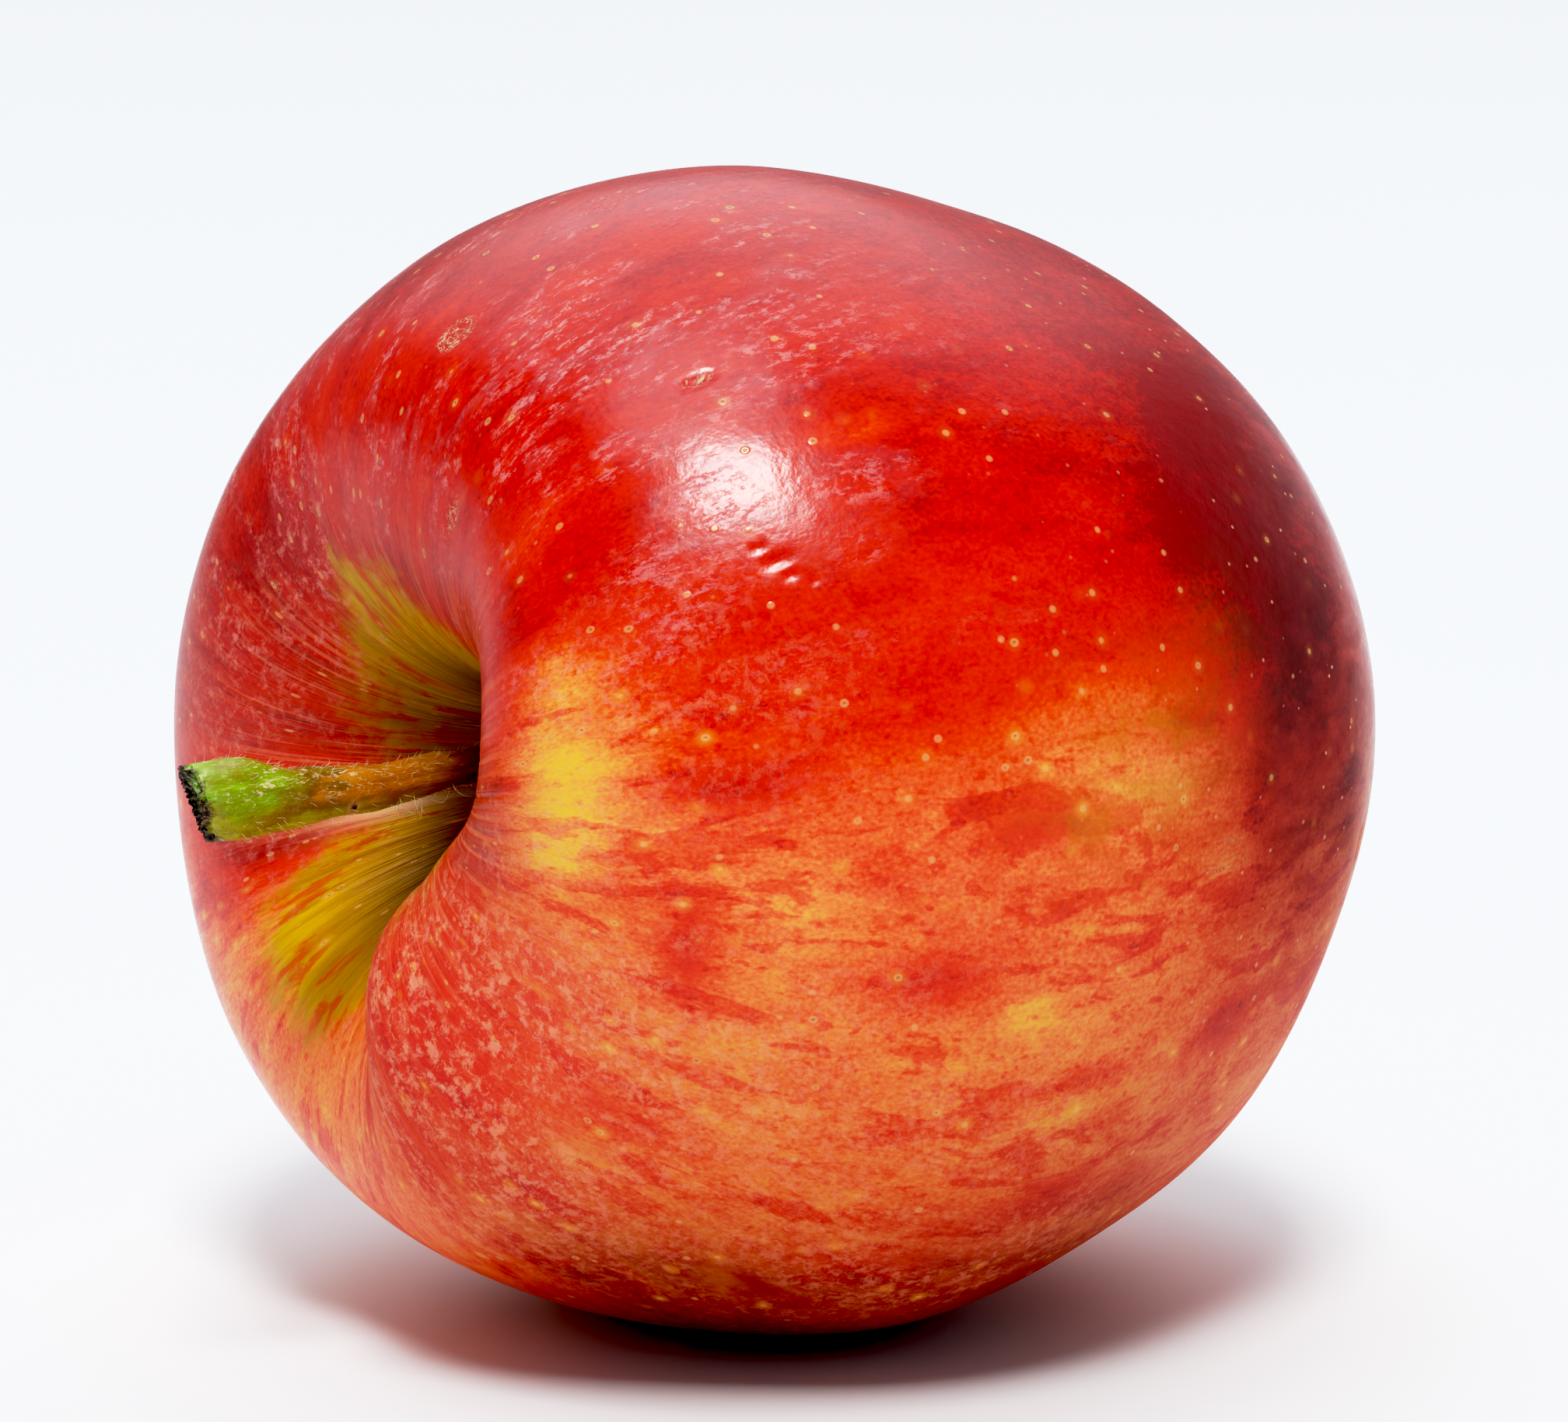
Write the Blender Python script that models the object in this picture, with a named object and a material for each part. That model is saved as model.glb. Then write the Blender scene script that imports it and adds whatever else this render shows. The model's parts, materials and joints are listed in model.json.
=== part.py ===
"""A ripe red apple with its stalk and dried calyx, lying on its side on a small flat spot.

The fruit is described in its own core frame: the core line is the axis, with the stalk end up.
A place on the skin is a longitude about the core line and a station along the outline, counted
from the stalk pit (0) over the shoulder (5) and the widest girth (9) to the calyx pit (17).
Longitude 0 is the side that ends up on top when the fruit lies down, and 180 is underneath.
"""
import math

import bmesh
import bpy
import numpy as np
from mathutils import Matrix, Vector

MM = 0.001
GAP = 0.3 * MM                    # clear space kept between pieces that touch

# ---- the fruit --------------------------------------------------------------------------
LONGITUDES = 72                   # columns of faces round the core line
ROWS_PER_SPAN = 3                 # rows of faces between two outline points
HALF_OUTLINE = (                  # radius and height in millimetres, from pit to pit
    (1.75, 14.2), (2.6, 14.6), (4.6, 18.5), (7.2, 24.5), (11.5, 29.8), (17.4, 32.6),
    (25.9, 31.0), (31.7, 24.5), (36.7, 13.8), (37.8, 1.9), (35.0, -10.7), (31.0, -21.1),
    (23.6, -29.7), (16.0, -33.6), (10.2, -32.3), (6.6, -28.9), (4.2, -26.6), (2.0, -25.0),
)
SOCKET_FLOOR = 12.4 * MM          # height of the hole in which the stalk is rooted
CALYX_FLOOR = -24.8 * MM          # height of the bottom of the calyx tube
SHOULDER_ZONE = (4 * MM, 30 * MM)     # heights over which the stalk end's lobes fade in
CALYX_ZONE = (-4 * MM, -30 * MM)      # heights over which the calyx end's lobes fade in

# Soft lobes that make it grown and not turned: zone, how many round, longitude of a crest,
# and height as a share of the radius there.
WIDTH_LOBES = (
    ("stalk", 1, 40, 0.018), ("calyx", 1, 176, 0.012),
    ("stalk", 2, 146, 0.011), ("middle", 2, 66, 0.021), ("calyx", 2, 46, 0.006),
    ("stalk", 3, 25, 0.009), ("middle", 3, 76, 0.009),
    ("stalk", 5, 30, 0.014), ("middle", 5, 2, 0.016), ("calyx", 5, 71, 0.009),
)
# The same for the height of the two rims, in metres.
RIM_LOBES = (
    ("stalk", 1, 153, 0.7 * MM), ("calyx", 1, 333, 0.4 * MM),
    ("stalk", 2, 134, 0.35 * MM), ("stalk", 3, 80, 0.4 * MM), ("calyx", 3, 4, 0.8 * MM),
    ("stalk", 5, 64, 0.4 * MM), ("calyx", 5, 8, 0.45 * MM),
)
# Single swells and hollows of the skin: longitude and its half width in degrees,
# station and its half width, and how far the skin is pushed out.
SWELLS = (
    ("front shoulder", 294, 36, 5.0, 1.05, 1.5 * MM),
    ("lower front shoulder", 236, 37, 3.8, 1.2, 5.2 * MM),
    ("fold below the shoulder", 200, 19, 4.3, 1.2, 2.9 * MM),
    ("hollow above the shoulder", 336, 26, 4.8, 1.2, -1.6 * MM),
    ("lip of the stalk cavity", 267, 26, 3.5, 0.9, 1.2 * MM),
    ("ridge beside the stalk", 112, 17, 3.1, 1.0, 1.3 * MM),
    ("valley beside the ridge", 166, 16, 4.2, 1.5, -1.2 * MM),
    ("heavy underside", 156, 36, 10.2, 2.0, 1.8 * MM),
)

# ---- how it lies ------------------------------------------------------------------------
STALK_DIP = math.radians(0.8)     # the stalk end lies this much lower than level
FLAT_DEPTH = 0.5 * MM             # how much of the roundness the rest spot takes away

# ---- the stalk: offset up, offset to the far side, height, radius, in millimetres --------
STALK_RINGS = 30
STALK_SIDES = 16
STALK_ROUTE = (
    (0.0, 0.0, 12.7, 1.35), (0.45, 0.0, 15.5, 1.3), (1.3, 0.0, 19.0, 1.2), (1.65, 0.0, 23.0, 1.15),
    (1.45, 0.0, 27.0, 1.2), (0.95, 0.0, 32.0, 1.5), (1.15, 0.0, 37.0, 1.75),
    (1.4, 0.1, 40.5, 2.2), (1.55, 0.25, 43.5, 2.65), (1.6, 0.3, 45.6, 2.5),
)
STALK_END_SLANT = math.radians(20)    # the end scar leans over towards the underside
STALK_END_SKEW = math.radians(24)     # and away from the near side
STALK_END_LENGTH = 3.5 * MM           # stretch of the stalk that takes up the slant
BUD_SCAR = (245, 35.0 * MM, 0.35 * MM)    # longitude, height and depth of the small bud scar

# ---- the calyx --------------------------------------------------------------------------
SEPALS = 5
FIRST_SEPAL = 20                  # longitude of the first sepal
SEPAL_THICKNESS = 0.5 * MM
# radius, height, width of a sepal's middle line in millimetres, from root to tip
SEPAL_LINE = (
    (4.5, -27.6, 3.5), (4.2, -28.8, 3.8), (3.4, -30.1, 3.1), (2.6, -31.1, 2.3),
    (2.3, -32.0, 1.6), (2.8, -32.8, 1.0), (3.8, -33.1, 0.4),
)
STAMEN_RADIUS = 1.1 * MM
STAMEN_LENGTH = 5.0 * MM
STAMEN_SIDES = 10


def smooth_step(low, high, value):
    """0 before low, 1 after high, and a soft slope between them."""
    share = np.clip((value - low) / (high - low), 0.0, 1.0)
    return share * share * (3.0 - 2.0 * share)


def smooth_curve(points, steps):
    """A curve through all points, with this many steps between two of them."""
    points = np.array(points, dtype=float)
    ends = np.vstack([2 * points[0] - points[1], points, 2 * points[-1] - points[-2]])
    share = np.linspace(0.0, 1.0, steps, endpoint=False)[:, None]
    rows = []
    for before, start, end, after in zip(ends, ends[1:], ends[2:], ends[3:]):
        rows.append(0.5 * (2 * start + (end - before) * share
                           + (2 * before - 5 * start + 4 * end - after) * share ** 2
                           + (3 * start - before - 3 * end + after) * share ** 3))
    rows.append(points[-1:])
    return np.vstack(rows)


def lobed(value, lobes, zones, longitude):
    """Add up the lobes at each longitude, each weighted by its zone."""
    for zone, count, crest, height in lobes:
        value = value + zones[zone] * height * np.cos(count * (longitude - math.radians(crest)))
    return value


def fruit_grid():
    """Skin points in the core frame: one row for each station, one column for each longitude."""
    outline = smooth_curve(HALF_OUTLINE, ROWS_PER_SPAN) * MM
    radius, height = outline[:, :1], outline[:, 1:]
    station = np.arange(len(outline))[:, None] / ROWS_PER_SPAN
    longitude = np.linspace(0.0, 2.0 * math.pi, LONGITUDES, endpoint=False)[None, :]
    stalk = smooth_step(*SHOULDER_ZONE, height)
    calyx = smooth_step(*CALYX_ZONE, height)
    zones = {"stalk": stalk, "calyx": calyx, "middle": 1.0 - stalk - calyx}
    rims = {"stalk": stalk * smooth_step(2 * MM, 14 * MM, radius),
            "calyx": calyx * smooth_step(3 * MM, 12 * MM, radius)}
    wide = radius * lobed(np.ones_like(longitude), WIDTH_LOBES, zones, longitude)
    high = height + lobed(np.zeros_like(longitude), RIM_LOBES, rims, longitude)
    along = np.gradient(outline, axis=0)
    along = along / np.linalg.norm(along, axis=1)[:, None]
    push = np.zeros_like(wide)
    for _, crest, half_width, middle, half_length, amount in SWELLS:
        turn = (np.degrees(longitude) - crest + 180.0) % 360.0 - 180.0
        push += amount * np.exp(-(turn / half_width) ** 2 - ((station - middle) / half_length) ** 2)
    wide = wide - push * along[:, 1:]
    high = high + push * along[:, :1]
    return np.stack([wide * np.cos(longitude), wide * np.sin(longitude), high], axis=-1)


def core_to_rest():
    """Turn from the core frame, stalk up, to the fruit lying down with its stalk towards -X."""
    up = Vector((-math.sin(STALK_DIP), 0.0, math.cos(STALK_DIP)))
    stalkwards = Vector((-math.cos(STALK_DIP), 0.0, -math.sin(STALK_DIP)))
    return Matrix((up, stalkwards.cross(up), stalkwards)).transposed()


def ring_of(mesh, points):
    """New vertices at these points."""
    return [mesh.verts.new(point) for point in points]


def bridge(mesh, lower, upper):
    """A closed band of quads between two rings of the same length."""
    count = len(lower)
    for index in range(count):
        following = (index + 1) % count
        mesh.faces.new((lower[index], lower[following], upper[following], upper[index]))


def cap(mesh, ring, centre):
    """Close a ring with triangles that meet in a middle point."""
    middle = mesh.verts.new(centre)
    for index, vertex in enumerate(ring):
        mesh.faces.new((vertex, ring[(index + 1) % len(ring)], middle))


def material(name, colour, roughness):
    """A plain Principled finish."""
    finish = bpy.data.materials.new(name)
    finish.use_nodes = True
    shader = finish.node_tree.nodes["Principled BSDF"]
    shader.inputs["Base Color"].default_value = (*colour, 1.0)
    shader.inputs["Roughness"].default_value = roughness
    shader.inputs["Metallic"].default_value = 0.0
    return finish


def add_object(name, mesh, place, finish):
    """Turn a finished mesh to its place and put it in the scene as one named piece."""
    bmesh.ops.recalc_face_normals(mesh, faces=mesh.faces)
    mesh.transform(place)
    data = bpy.data.meshes.new(name)
    mesh.to_mesh(data)
    mesh.free()
    data.materials.append(finish)
    data.shade_smooth()
    data.set_sharp_from_angle(angle=math.radians(50))
    piece = bpy.data.objects.new(name, data)
    bpy.context.scene.collection.objects.link(piece)
    return piece


def rest_spot(grid, turn):
    """The middle of the flat that the fruit lies on, before it is moved to the origin."""
    lying = grid.reshape(-1, 3) @ np.array(turn).T
    level = lying[:, 2].min() + FLAT_DEPTH
    middle = lying[lying[:, 2] < level].mean(axis=0)
    return Vector((middle[0], middle[1], level))


def build_fruit(grid, place):
    """The whole fruit as one solid, with a stalk socket, a calyx tube and a flat rest spot."""
    mesh = bmesh.new()
    socket = grid[0].copy()
    socket[:, 2] = SOCKET_FLOOR
    rings = [ring_of(mesh, socket)] + [ring_of(mesh, row) for row in grid]
    for lower, upper in zip(rings, rings[1:]):
        bridge(mesh, lower, upper)
    cap(mesh, rings[0], (0.0, 0.0, SOCKET_FLOOR))
    cap(mesh, rings[-1], (0.0, 0.0, CALYX_FLOOR))
    mesh.transform(place)
    everything = list(mesh.verts) + list(mesh.edges) + list(mesh.faces)
    cut = bmesh.ops.bisect_plane(mesh, geom=everything, plane_co=(0, 0, 0), plane_no=(0, 0, -1),
                                 clear_outer=True, dist=1e-6)
    edge = [part for part in cut["geom_cut"] if isinstance(part, bmesh.types.BMEdge)]
    bmesh.ops.edgeloop_fill(mesh, edges=edge)
    skin = material("apple_skin", (0.55, 0.03, 0.02), 0.25)
    return add_object("fruit", mesh, Matrix.Identity(4), skin)


def build_stalk(place):
    """A slightly bowed stalk with a flared, slanting end scar."""
    spans = len(STALK_ROUTE) - 1
    route = smooth_curve(STALK_ROUTE, STALK_RINGS // spans + 1) * MM
    end = route[-1, 2]
    mesh = bmesh.new()
    rings = []
    for up, far, height, radius in route:
        share = smooth_step(end - STALK_END_LENGTH, end, height)
        points = []
        for side in range(STALK_SIDES):
            turn = 2.0 * math.pi * side / STALK_SIDES
            drop = radius * share * (math.tan(STALK_END_SLANT) * (math.cos(turn) - 1.0)
                                     + math.tan(STALK_END_SKEW) * (1.0 - math.sin(turn)))
            lean = math.radians(BUD_SCAR[0]) - turn
            near_scar = math.exp(-(lean / 0.5) ** 2 - ((height - BUD_SCAR[1]) / (1.2 * MM)) ** 2)
            reach = radius + BUD_SCAR[2] * near_scar
            points.append((up + reach * math.cos(turn), far + reach * math.sin(turn), height + drop))
        rings.append(ring_of(mesh, points))
    for lower, upper in zip(rings, rings[1:]):
        bridge(mesh, lower, upper)
    cap(mesh, rings[0], route[0, :3])
    lean = math.tan(STALK_END_SKEW) - math.tan(STALK_END_SLANT)
    slanted = route[-1, 2] + lean * route[-1, 3] - 0.3 * MM
    cap(mesh, rings[-1], (route[-1, 0], route[-1, 1], slanted))
    return add_object("stem", mesh, place, material("stalk_bark", (0.30, 0.28, 0.06), 0.6))


def build_sepal(number, place, finish):
    """One dried sepal: a narrow cupped blade that leans in and curls out at its tip."""
    line = smooth_curve(SEPAL_LINE, 2) * MM
    along = np.gradient(line[:, :2], axis=0)
    along = along / np.linalg.norm(along, axis=1)[:, None]
    mesh = bmesh.new()
    rings = []
    for (radius, height, width), (out, rise) in zip(line, along):
        thick = SEPAL_THICKNESS * (0.5 + 0.5 * width / (3.0 * MM))
        points = []
        for turn in np.linspace(0.0, 2.0 * math.pi, 10, endpoint=False):
            side = 0.5 * width * math.cos(turn)
            depth = 0.5 * thick * math.sin(turn) - side * side / (7.0 * MM)
            points.append((radius - depth * rise, side, height + depth * out))
        rings.append(ring_of(mesh, points))
    for lower, upper in zip(rings, rings[1:]):
        bridge(mesh, lower, upper)
    mesh.faces.new(rings[0])
    mesh.faces.new(rings[-1])
    angle = math.radians(FIRST_SEPAL + 360.0 / SEPALS * number)
    turned = place @ Matrix.Rotation(angle, 4, "Z")
    return add_object(f"sepal_{number + 1}", mesh, turned, finish)


def build_stamens(place):
    """The dried tuft of stamens and styles in the calyx tube, as one fluted cone."""
    mesh = bmesh.new()
    rings = []
    for share in np.linspace(0.0, 1.0, 7):
        height = CALYX_FLOOR - GAP - share * STAMEN_LENGTH
        radius = STAMEN_RADIUS * (1.0 - 0.55 * share ** 2)
        points = []
        for side in range(STAMEN_SIDES):
            turn = 2.0 * math.pi * side / STAMEN_SIDES
            reach = radius * (1.0 if side % 2 else 0.78)
            points.append((reach * math.cos(turn), reach * math.sin(turn), height))
        rings.append(ring_of(mesh, points))
    for lower, upper in zip(rings, rings[1:]):
        bridge(mesh, lower, upper)
    cap(mesh, rings[0], (0.0, 0.0, CALYX_FLOOR - GAP))
    cap(mesh, rings[-1], (0.0, 0.0, CALYX_FLOOR - GAP - STAMEN_LENGTH - 0.2 * MM))
    return add_object("stamens", mesh, place, material("dried_stamens", (0.13, 0.08, 0.04), 0.9))


def main():
    for thing in list(bpy.data.objects):
        bpy.data.objects.remove(thing, do_unlink=True)
    grid = fruit_grid()
    turn = core_to_rest()
    place = Matrix.Translation(-rest_spot(grid, turn)) @ turn.to_4x4()
    build_fruit(grid, place)
    build_stalk(place)
    sepal_finish = material("dried_sepals", (0.20, 0.13, 0.06), 0.85)
    for number in range(SEPALS):
        build_sepal(number, place, sepal_finish)
    build_stamens(place)


main()
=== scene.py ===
# %% [markdown]
# A ripe red apple lies on its side on a pale surface. Its true shape and size are already fixed by
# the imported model, which is loaded first and never moved. This script gives each piece its real
# surface: the waxy streaked skin with its pale dots, the downy green stalk with a dark corky end,
# and the dry brown calyx at the far end.

# %% Load the fixed frame
import json
import math

import bpy
import numpy as np
from mathutils import Matrix, Quaternion, Vector, noise

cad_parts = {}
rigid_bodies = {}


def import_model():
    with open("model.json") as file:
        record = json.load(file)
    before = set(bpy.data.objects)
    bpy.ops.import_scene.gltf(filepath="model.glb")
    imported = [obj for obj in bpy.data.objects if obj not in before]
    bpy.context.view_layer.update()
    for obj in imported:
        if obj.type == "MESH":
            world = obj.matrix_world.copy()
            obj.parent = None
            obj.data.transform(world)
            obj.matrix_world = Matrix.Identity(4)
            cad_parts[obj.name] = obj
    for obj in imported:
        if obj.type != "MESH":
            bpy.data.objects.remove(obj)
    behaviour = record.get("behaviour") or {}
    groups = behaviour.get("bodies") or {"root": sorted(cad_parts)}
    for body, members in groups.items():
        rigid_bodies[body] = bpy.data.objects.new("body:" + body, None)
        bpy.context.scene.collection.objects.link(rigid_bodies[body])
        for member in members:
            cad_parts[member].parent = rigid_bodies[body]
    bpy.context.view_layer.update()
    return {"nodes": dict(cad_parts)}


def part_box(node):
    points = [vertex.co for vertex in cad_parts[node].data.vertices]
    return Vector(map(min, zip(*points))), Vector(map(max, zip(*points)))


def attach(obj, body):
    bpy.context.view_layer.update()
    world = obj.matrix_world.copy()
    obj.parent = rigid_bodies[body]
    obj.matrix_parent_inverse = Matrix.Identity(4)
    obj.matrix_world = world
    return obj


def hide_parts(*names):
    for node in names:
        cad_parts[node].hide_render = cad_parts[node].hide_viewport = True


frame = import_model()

print("frame nodes:", sorted(frame["nodes"]))

# %% [markdown]
# An apple grows round its core line, and everything on its skin follows that line: streaks run
# along meridians from the stalk to the calyx, and colours change from one side to the other. So
# the pattern work needs places as (up, across, along) distances from the middle of the core, and
# from those a longitude round the core and an angle away from the stalk. Longitude 0 is on top,
# 90 on the far side, 180 underneath and 270 on the near side.

# %% The core line
MM = 0.001
STALK_DIP = math.radians(0.8)     # how far the core line points down at its stalk end
CORE_SHIFT = Vector((0.54, -0.45, -0.20)) * MM     # from the middle of the fruit's box
fruit_low, fruit_high = (Vector(corner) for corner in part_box("fruit"))
CORE = (fruit_low + fruit_high) / 2 + CORE_SHIFT
UP = Vector((-math.sin(STALK_DIP), 0.0, math.cos(STALK_DIP)))
STALKWARDS = Vector((-math.cos(STALK_DIP), 0.0, -math.sin(STALK_DIP)))
ACROSS = STALKWARDS.cross(UP)
TO_CORE = np.array((UP, ACROSS, STALKWARDS))


def core_places(mesh):
    """Each vertex as (up, across, along) in millimetres from the middle of the core."""
    places = np.empty(len(mesh.vertices) * 3)
    mesh.vertices.foreach_get("co", places)
    return (places.reshape(-1, 3) - np.array(CORE)) @ TO_CORE.T / MM


def set_core_places(mesh, places):
    """Move the vertices to new core places."""
    world = places * MM @ TO_CORE + np.array(CORE)
    mesh.vertices.foreach_set("co", world.ravel())
    mesh.update()


def smooth_step(low, high, value):
    """0 before low, 1 after high, and a soft slope between them."""
    share = np.clip((value - low) / (high - low), 0.0, 1.0)
    return share * share * (3.0 - 2.0 * share)


print("core middle in mm:", [round(value / MM, 2) for value in CORE])

# %% [markdown]
# The camera looks down at the apple from about ten degrees, past the near shoulder and into the
# stalk cavity. A long lens from 0.4 m keeps the fruit's outline full and round.

# %% Camera
CAMERA_AZIMUTH = math.radians(-36.85)
CAMERA_ELEVATION = math.radians(10.0)
CAMERA_DISTANCE = 0.400
AIM_RIGHT, AIM_UP = -0.63 * MM, 1.93 * MM      # where it aims, from the core's middle
FOCAL_LENGTH, SENSOR_WIDTH = 141.0, 36.0       # millimetres

towards_camera = Vector((math.sin(CAMERA_AZIMUTH) * math.cos(CAMERA_ELEVATION),
                         -math.cos(CAMERA_AZIMUTH) * math.cos(CAMERA_ELEVATION),
                         math.sin(CAMERA_ELEVATION)))
camera_right = Vector((math.cos(CAMERA_AZIMUTH), math.sin(CAMERA_AZIMUTH), 0.0))
camera_up = towards_camera.cross(camera_right)
aim = CORE + camera_right * AIM_RIGHT + camera_up * AIM_UP
bpy.ops.object.camera_add(location=aim + towards_camera * CAMERA_DISTANCE)
camera = bpy.context.object
camera.rotation_mode = "QUATERNION"
camera.rotation_quaternion = (-towards_camera).to_track_quat("-Z", "Y")
camera.data.lens = FOCAL_LENGTH
camera.data.sensor_width = SENSOR_WIDTH
camera.data.clip_start = 10 * MM
bpy.context.scene.camera = camera
print("camera at", [round(value, 3) for value in camera.location])

# %% [markdown]
# Editing goes through Blender's own operators, which act on whatever is selected. Two small
# helpers keep that safe: one clears the selection, and one makes a merged, editable copy of a
# node, because a node's mesh is loose triangles.


# %% Selection and copies
SAME_PLACE = 0.000002             # metres: vertices closer than this are one
FLAT_ENOUGH = math.radians(40)    # two triangles that bend less than this make one quad
SQUARE_ENOUGH = math.radians(60)


def deselect_all():
    """Nothing selected and nothing active."""
    for thing in bpy.context.view_layer.objects:
        thing.select_set(False)


def make_active(piece):
    """Only this piece is selected, and operators act on it."""
    deselect_all()
    piece.select_set(True)
    bpy.context.view_layer.objects.active = piece


def merged_copy(node, name):
    """A node's shape as a new object of clean quads."""
    piece = bpy.data.objects.new(name, frame["nodes"][node].data.copy())
    bpy.context.scene.collection.objects.link(piece)
    piece.data.materials.clear()
    make_active(piece)
    bpy.ops.object.mode_set(mode="EDIT")
    bpy.ops.mesh.select_all(action="SELECT")
    bpy.ops.mesh.remove_doubles(threshold=SAME_PLACE)
    bpy.ops.mesh.tris_convert_to_quads(face_threshold=FLAT_ENOUGH, shape_threshold=SQUARE_ENOUGH)
    bpy.ops.object.mode_set(mode="OBJECT")
    return piece


def subdivide(piece, levels):
    """Smooth the shape with an applied Subdivision Surface."""
    make_active(piece)
    bpy.ops.object.modifier_add(type="SUBSURF")
    modifier = piece.modifiers[-1]
    modifier.levels = modifier.render_levels = levels
    bpy.ops.object.modifier_apply(modifier=modifier.name)
    bpy.ops.object.shade_smooth()


def put_on_frame(piece, slot, *nodes):
    """The piece rides on the one body and stands for its nodes. The slot is not used."""
    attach(piece, "root")
    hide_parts(*nodes)
    print(piece.name, len(piece.data.polygons), "faces")


# %% [markdown]
# The skin is the fruit's own surface, made finer and rounder. Small marks of a grown fruit are
# real shape here: press marks that catch the light, a nick, scaly scars, creases in the fold under
# the near shoulder and a notch near the calyx. Each mark has its longitude and polar angle, its
# half widths round and along the skin in millimetres, how far it pushes the skin in, and how corky
# it is. The mesh is cut finer only round the marks, so the rest stays light.

# %% Marks on the skin
MARKS = (
    ("press mark", 304.0, 55.2, 0.30, 0.45, 0.08, 0), ("press mark", 302.0, 56.3, 0.42, 0.90, 0.13, 0),
    ("press mark", 300.2, 57.0, 0.32, 0.50, 0.09, 0), ("press mark", 299.0, 58.8, 0.26, 0.35, 0.06, 0),
    ("nick", 324.9, 57.6, 0.50, 1.10, 0.28, 0.8), ("scaly scar", 355.0, 46.8, 1.20, 1.60, 0.07, 1.0),
    ("oval scar", 338.1, 33.0, 0.60, 1.20, 0.12, 0.9), ("far scar", 95.0, 62.0, 1.30, 2.40, 0.10, 0.8),
    ("crease", 196.0, 26.0, 0.22, 5.0, 0.12, 0.15), ("crease", 200.5, 25.0, 0.20, 6.0, 0.14, 0.15),
    ("crease", 205.0, 27.0, 0.18, 4.5, 0.09, 0.10), ("crease", 191.0, 29.0, 0.25, 4.0, 0.08, 0.0),
    ("lip crack", 272, 21.5, 0.16, 2.2, 0.09, 0.25), ("lip crack", 281, 22.5, 0.16, 2.6, 0.10, 0.25),
    ("lip crack", 291, 24.0, 0.16, 2.0, 0.08, 0.25), ("notch", 257.0, 132.4, 1.40, 0.80, 0.55, 0.35),
    ("scratch", 264.6, 98.0, 0.14, 1.9, 0.06, 0.9), ("scratch", 267.2, 99.8, 0.12, 1.3, 0.05, 0.8),
)


def skin_map(mesh):
    """Core places of the vertices, their distance from the core line, longitude and polar angle."""
    places = core_places(mesh)
    radius = np.hypot(places[:, 0], places[:, 1])
    longitude = np.degrees(np.arctan2(places[:, 1], places[:, 0])) % 360.0
    return places, radius, longitude, np.degrees(np.arctan2(radius, places[:, 2]))


def round_distance(longitudes, centre):
    """How many degrees away a longitude is, the short way round."""
    return (longitudes - centre + 180.0) % 360.0 - 180.0


def from_marks(mesh, margin=0.0):
    """For each mark, how many half widths away each vertex is."""
    places, radius, longitude, polar = skin_map(mesh)
    reach = np.linalg.norm(places, axis=1)
    rows = []
    for _, centre, polar_centre, half_girth, half_length, _, _ in MARKS:
        sideways = np.radians(round_distance(longitude, centre)) * radius / (half_girth + margin)
        lengthways = np.radians(polar - polar_centre) * reach / (half_length + margin)
        rows.append(np.hypot(sideways, lengthways))
    return np.array(rows)


def cut_finer(piece, near, cuts):
    """Subdivide the faces that have a vertex where near is true."""
    corners = np.empty(len(piece.data.loops), dtype=np.int32)
    piece.data.loops.foreach_get("vertex_index", corners)
    starts = np.empty(len(piece.data.polygons), dtype=np.int32)
    piece.data.polygons.foreach_get("loop_start", starts)
    make_active(piece)
    bpy.context.tool_settings.mesh_select_mode = (False, False, True)
    bpy.ops.object.mode_set(mode="EDIT")
    bpy.ops.mesh.select_all(action="DESELECT")
    bpy.ops.object.mode_set(mode="OBJECT")
    piece.data.polygons.foreach_set("select", np.logical_or.reduceat(near[corners], starts))
    bpy.ops.object.mode_set(mode="EDIT")
    bpy.ops.mesh.subdivide(number_cuts=cuts, smoothness=1.0)
    bpy.ops.object.mode_set(mode="OBJECT")


def vertex_normals(mesh):
    """The normal of every vertex."""
    normals = np.empty(len(mesh.vertices) * 3, dtype=np.float32)
    mesh.vertex_normals.foreach_get("vector", normals)
    return normals.reshape(-1, 3)


def push(piece, amount):
    """Move each vertex outwards along its normal by this many millimetres."""
    places = core_places(piece.data)
    outwards = vertex_normals(piece.data) @ TO_CORE.T
    set_core_places(piece.data, places + outwards * np.asarray(amount)[:, None])


def rough(places, stretch, shift=0.0):
    """Soft noise between about -1 and 1 at each place, stretched along each axis."""
    spots = places * np.array(stretch) + shift
    return np.array([noise.noise(Vector(spot)) for spot in spots])


# %% Fruit skin mesh
WAVE_HEIGHT, WAVES = 0.10, 0.11   # millimetres, and how many waves to a millimetre
RECESS = 0.05                     # millimetres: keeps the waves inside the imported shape
skin = merged_copy("fruit", "skin")
subdivide(skin, 2)
for margin, half_widths in ((0.4, 1.3), (0.2, 1.2)):
    cut_finer(skin, (from_marks(skin.data, margin) < half_widths).any(axis=0), 1)
shares = np.exp(-from_marks(skin.data) ** 2)
depths = np.array([mark[5] for mark in MARKS])
waviness = rough(core_places(skin.data), (WAVES, WAVES, WAVES)) * WAVE_HEIGHT
push(skin, -depths @ shares - RECESS - waviness)
russet = np.clip(np.array([mark[6] for mark in MARKS]) @ shares, 0.0, 1.0)
bpy.ops.object.shade_smooth()
put_on_frame(skin, "skin", "fruit")

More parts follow.
